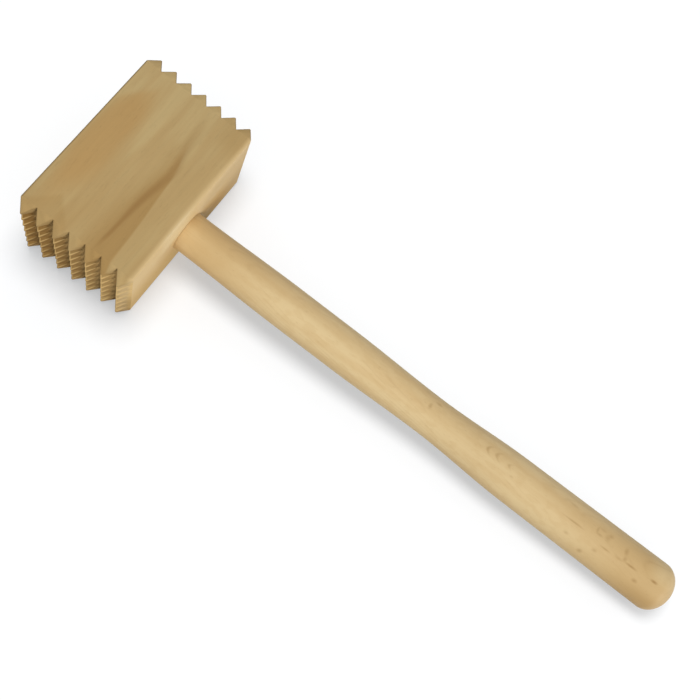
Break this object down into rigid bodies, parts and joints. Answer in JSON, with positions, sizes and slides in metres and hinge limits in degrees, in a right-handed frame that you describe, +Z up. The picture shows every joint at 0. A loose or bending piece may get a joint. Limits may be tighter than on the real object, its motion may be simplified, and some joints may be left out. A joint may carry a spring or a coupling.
{
  "type": "meat mallet",
  "caption": "Wooden meat mallet: a block head with pyramid teeth cut into both ends, on a turned handle whose tenon is wedged through the head.",
  "frame": {"origin": "middle of the head's lower broad face, which the mallet lies on", "axes": "+X along the handle from the head to the grip, +Y along the head from one toothed end to the other, +Z up through the broad faces"},
  "size_m": [0.33, 0.092, 0.048],
  "materials": {
    "head_wood": "sanded, unvarnished",
    "handle_wood": "turned and sanded, unvarnished",
    "wedge_wood": "sawn and sanded flush"
  },
  "bodies": {
    "root": {"head": "head_wood", "handle": "handle_wood", "wedge": "wedge_wood"}
  },
  "joints": []
}
